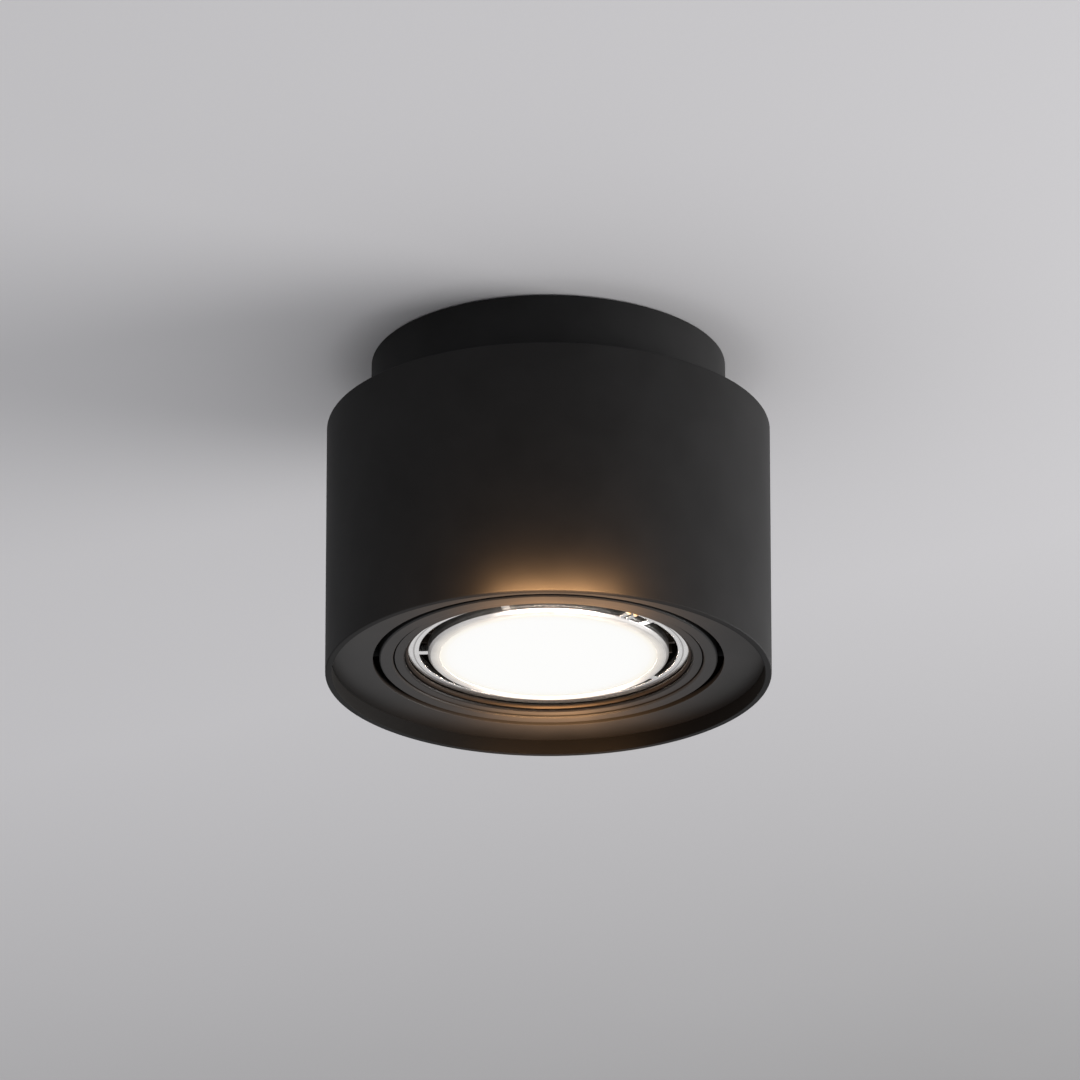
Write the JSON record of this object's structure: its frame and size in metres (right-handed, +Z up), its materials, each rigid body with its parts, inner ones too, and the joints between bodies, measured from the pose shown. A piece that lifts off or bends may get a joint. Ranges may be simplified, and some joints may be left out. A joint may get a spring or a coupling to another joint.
{
  "type": "surface mounted ceiling spotlight",
  "caption": "Black cylindrical ceiling spotlight: a round rose carries a wider round housing, in whose mouth a large lamp tilts in a two-axis ring gimbal.",
  "frame": {"origin": "centre of the mounting plate's back face, on the ceiling; the light hangs down from it to z = -0.132 m", "axes": "+Z up, out of the mounting plate's back face into the ceiling; X along the outer ring's pivots and the plate's slots; Y along the inner ring's pivots"},
  "size_m": [0.175, 0.175, 0.132],
  "materials": {
    "coated_aluminium": "matte",
    "coated_steel": "matte",
    "coated_ring": "satin",
    "black_screw": "satin",
    "galvanised_steel": "satin",
    "zinc_steel": "satin",
    "spring_wire": "polished",
    "lamp_chrome": "polished",
    "lamp_bezel_metal": "satin",
    "heatsink_aluminium": "satin",
    "frosted_diffuser": "satin",
    "white_board": "matte",
    "led_phosphor": "satin",
    "lamp_plastic": "satin",
    "green_board": "satin",
    "nickel_pin": "satin",
    "brass_insert": "satin",
    "holder_ceramic": "matte",
    "terminal_nylon": "satin",
    "black_rubber": "matte",
    "black_nylon": "satin",
    "woven_sleeve": "matte",
    "silicone_core": "satin",
    "earth_green": "satin"
  },
  "bodies": {
    "fixture": {"mounting_plate": "galvanised_steel", "cable_bush": "black_rubber", "terminal_block": "terminal_nylon", "terminal_inserts": "brass_insert", "terminal_screws": "zinc_steel", "terminal_block_screw": "zinc_steel", "earth_tag": "zinc_steel", "earth_screw": "zinc_steel", "earth_lead": "earth_green", "ceiling_rose": "coated_aluminium", "rose_side_screws": "black_screw", "hollow_nipple": "zinc_steel", "nipple_nuts": "zinc_steel", "nipple_washers": "zinc_steel", "nipple_bushes": "black_nylon", "housing": "coated_aluminium", "support_pillars": "zinc_steel", "pillar_screws": "black_screw", "face_plate": "coated_steel", "outer_pivot_screws": "black_screw", "friction_washers": "black_nylon", "lamp_lead_cores": "silicone_core", "lamp_lead_fixed": "woven_sleeve", "lamp_lead_upper": "woven_sleeve"},
    "outer_ring": {"outer_gimbal_ring": "coated_ring", "inner_pivot_screws": "black_screw"},
    "lamp_carrier": {"inner_gimbal_ring": "coated_ring", "retaining_spring": "spring_wire", "lamp_front_rim": "lamp_chrome", "lamp_bezel": "lamp_bezel_metal", "lamp_diffuser": "frosted_diffuser", "lamp_heatsink": "heatsink_aluminium", "led_board": "white_board", "led_chips": "led_phosphor", "lamp_base": "lamp_plastic", "driver_board": "green_board", "lamp_pins": "nickel_pin", "lampholder": "holder_ceramic", "lampholder_contacts": "brass_insert", "lamp_lead_lower": "woven_sleeve"}
  },
  "joints": [
    {"name": "outer_ring_tilt", "type": "hinge", "parent": "fixture", "child": "outer_ring", "pos_m": [0, 0, -0.12], "axis": [1, 0, 0], "range_deg": [-30, 30], "deforming": ["lamp_lead_upper"]},
    {"name": "inner_ring_tilt", "type": "hinge", "parent": "outer_ring", "child": "lamp_carrier", "pos_m": [0, 0, -0.12], "axis": [0, 1, 0], "range_deg": [-30, 30], "deforming": ["lamp_lead_lower"]}
  ]
}
